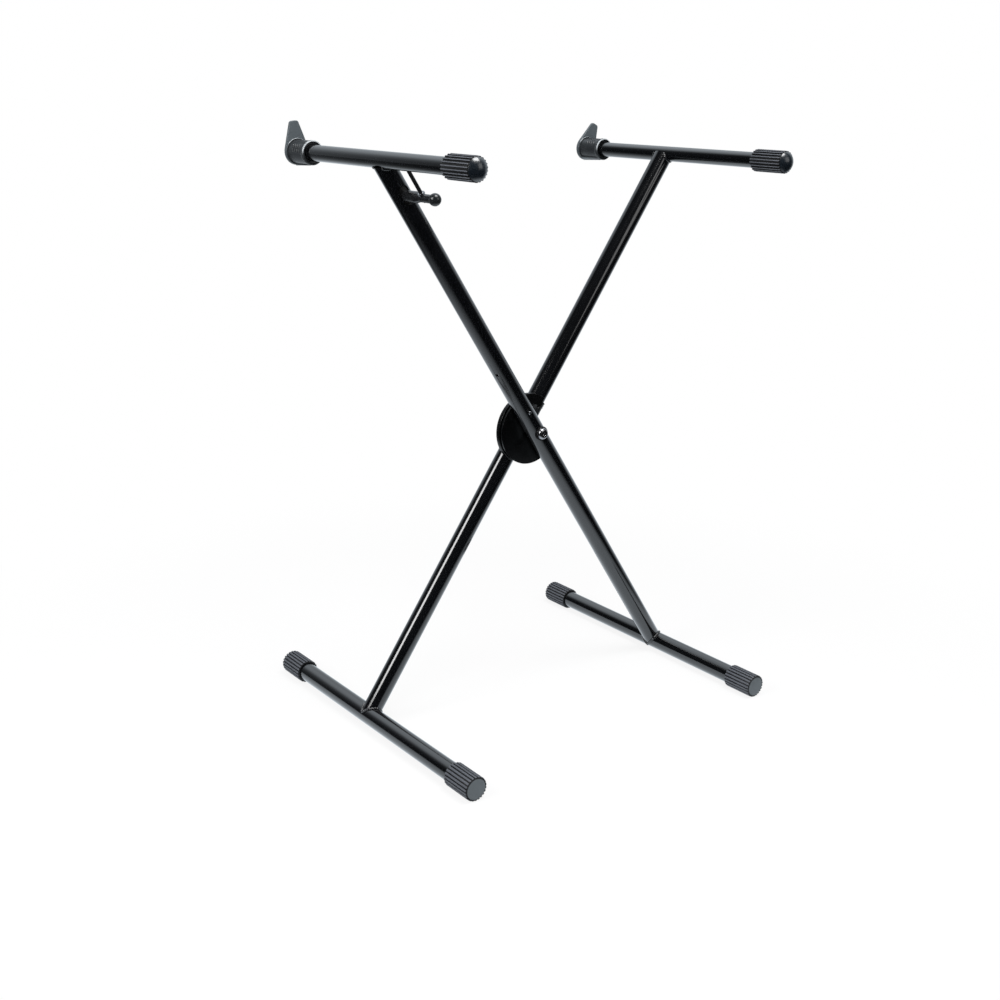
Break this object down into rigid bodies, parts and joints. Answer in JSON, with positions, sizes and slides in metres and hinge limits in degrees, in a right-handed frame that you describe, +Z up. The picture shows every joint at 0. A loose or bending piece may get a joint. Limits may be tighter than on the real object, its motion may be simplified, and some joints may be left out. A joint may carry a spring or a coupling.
{
  "type": "keyboard stand",
  "caption": "Folding X-frame stand: two crossed tube legs on a pivot with ribbed feet, arms with end stops to carry a keyboard, and a trigger that frees the lock.",
  "frame": {"origin": "on the floor, in the middle of the stand between the four foot caps", "axes": "+X to the right as the player sees it, -Y towards the player, +Z up"},
  "size_m": [0.5816, 0.498, 0.8543],
  "materials": {
    "powder_coat": "gloss black powder coat",
    "ribbed_rubber": "satin moulded",
    "stop_plastic": "satin",
    "hub_plastic": "matt",
    "nylon": "satin",
    "black_steel": "satin black",
    "knob_plastic": "gloss",
    "zinc_steel": "zinc plated",
    "bolt_steel": "black zinc",
    "spring_steel": "drawn wire"
  },
  "bodies": {
    "rear_frame": {"rear_leg_tube": "powder_coat", "left_foot_tube": "powder_coat", "right_arm_tube": "powder_coat", "rear_frame_welds": "powder_coat", "left_foot_front_cap": "ribbed_rubber", "left_foot_rear_cap": "ribbed_rubber", "right_arm_grip": "ribbed_rubber", "right_arm_stop": "stop_plastic", "rear_hub": "hub_plastic", "lock_plate": "zinc_steel", "lock_plate_screws": "zinc_steel", "rear_pivot_bush": "zinc_steel", "rear_saddle_washer": "nylon", "pivot_bolt": "bolt_steel", "bolt_head_washer": "zinc_steel", "pivot_lock_nut": "zinc_steel"},
    "front_frame": {"front_leg_tube": "powder_coat", "right_foot_tube": "powder_coat", "left_arm_tube": "powder_coat", "front_frame_welds": "powder_coat", "right_foot_front_cap": "ribbed_rubber", "right_foot_rear_cap": "ribbed_rubber", "left_arm_grip": "ribbed_rubber", "left_arm_stop": "stop_plastic", "front_hub": "hub_plastic", "front_saddle_washer": "nylon", "front_pivot_bush": "zinc_steel", "return_spring": "spring_steel", "spring_washer": "zinc_steel", "spring_stop_pins": "zinc_steel"},
    "trigger": {"trigger_bar": "black_steel", "trigger_ball": "knob_plastic", "trigger_guide_rod": "black_steel", "guide_rod_nut": "zinc_steel", "trigger_slider": "nylon", "pull_rod": "zinc_steel", "lock_pin_carrier": "nylon", "lock_pin": "zinc_steel"}
  },
  "joints": [
    {"name": "leg_fold", "type": "hinge", "parent": "rear_frame", "child": "front_frame", "pos_m": [0, -0.001, 0.41801], "axis": [0, 1, 0], "range_deg": [-41.2, 61.8]},
    {"name": "trigger_pull", "type": "slide", "parent": "front_frame", "child": "trigger", "axis": [-0.5621, 0, 0.8271], "range_m": [-0.0044, 0.007], "stiffness_N_per_m": 1200, "springref_m": -0.008, "deforming": ["return_spring"]}
  ]
}
